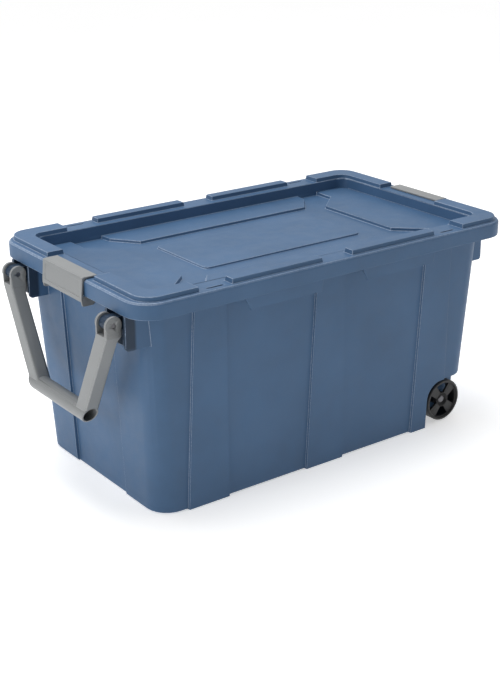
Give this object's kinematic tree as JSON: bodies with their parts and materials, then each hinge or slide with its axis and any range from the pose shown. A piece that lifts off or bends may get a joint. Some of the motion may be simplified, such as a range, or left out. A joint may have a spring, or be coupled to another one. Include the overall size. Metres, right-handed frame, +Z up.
{
  "type": "deck storage box",
  "caption": "Wheeled plastic storage box with a recessed lid, a snap latch at each end, a swinging U-shaped pull handle and a wheel at each far corner.",
  "frame": {"origin": "middle of the flat underside of the bin, on the surface it stands on", "axes": "+X along the length towards the wheel end, +Y across the width to the left side seen from the handle end, +Z up"},
  "size_m": [0.9768, 0.5392, 0.468],
  "materials": {
    "blue_plastic": "slate blue moulded polypropylene, fine satin grain",
    "grey_plastic": "mid grey moulded polypropylene, satin",
    "black_plastic": "black moulded plastic, satin",
    "steel": "plain zinc-plated steel"
  },
  "bodies": {
    "bin": {"bin_body": "blue_plastic", "wheel_axle_left": "steel", "wheel_axle_right": "steel", "axle_push_nut_left": "steel", "axle_push_nut_right": "steel"},
    "lid": {"lid": "blue_plastic"},
    "latch_handle_end": {"latch_handle_end": "grey_plastic"},
    "latch_wheel_end": {"latch_wheel_end": "grey_plastic"},
    "handle": {"pull_handle": "grey_plastic", "handle_pin_left": "steel", "handle_pin_right": "steel"},
    "wheel_left": {"wheel_left": "black_plastic"},
    "wheel_right": {"wheel_right": "black_plastic"}
  },
  "joints": [
    {"name": "lid_lift", "type": "slide", "parent": "bin", "child": "lid", "axis": [0, 0, 1], "range_m": [0, 0.3]},
    {"name": "latch_handle_end_hinge", "type": "hinge", "parent": "bin", "child": "latch_handle_end", "pos_m": [-0.452, 0, 0.4165], "axis": [0, -1, 0], "range_deg": [0, 110]},
    {"name": "latch_wheel_end_hinge", "type": "hinge", "parent": "bin", "child": "latch_wheel_end", "pos_m": [0.452, 0, 0.4165], "axis": [0, 1, 0], "range_deg": [0, 110]},
    {"name": "handle_swing", "type": "hinge", "parent": "bin", "child": "handle", "pos_m": [-0.481, 0, 0.408], "axis": [0, 1, 0], "range_deg": [0, 150]},
    {"name": "wheel_left_spin", "type": "hinge", "parent": "bin", "child": "wheel_left", "pos_m": [0.348, 0.202, 0.0495], "axis": [0, 1, 0], "continuous": true},
    {"name": "wheel_right_spin", "type": "hinge", "parent": "bin", "child": "wheel_right", "pos_m": [0.348, -0.202, 0.0495], "axis": [0, 1, 0], "continuous": true}
  ]
}
